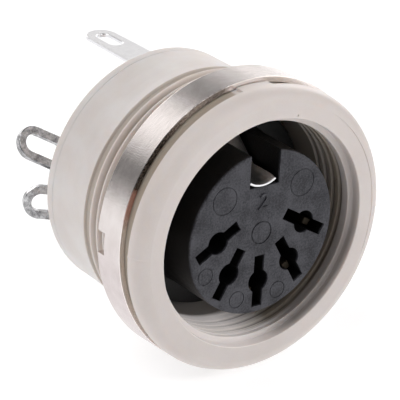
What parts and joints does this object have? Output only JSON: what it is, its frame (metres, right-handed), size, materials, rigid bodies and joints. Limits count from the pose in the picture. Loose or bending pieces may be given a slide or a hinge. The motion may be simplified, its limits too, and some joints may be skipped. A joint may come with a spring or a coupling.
{
  "type": "din socket",
  "caption": "Round panel socket with a flange, a slotted ring nut, a screw-lock thread and a keyed insert with slotted contacts and rear solder tags.",
  "frame": {"origin": "on the socket's axis, in the plane of the flange's rear face, where it seats on a panel", "axes": "-Y along the axis out of the mating face, +Y back through the panel to the solder tags, +Z from the axis to the key notch, X across"},
  "size_m": [0.02, 0.0204, 0.02],
  "materials": {
    "housing_plastic": "satin moulded, pale warm grey",
    "nut_metal": "nickel-plated, turned",
    "insert_plastic": "satin moulded, near black",
    "contact_metal": "tin-plated strip",
    "earth_metal": "silver-plated strip"
  },
  "bodies": {
    "root": {"housing": "housing_plastic", "rear_cap": "housing_plastic", "ring_nut": "nut_metal", "contact_insert": "insert_plastic", "contact_left": "contact_metal", "contact_lower_left": "contact_metal", "contact_bottom": "contact_metal", "contact_lower_right": "contact_metal", "contact_right": "contact_metal", "earth_contact": "earth_metal"}
  },
  "joints": []
}
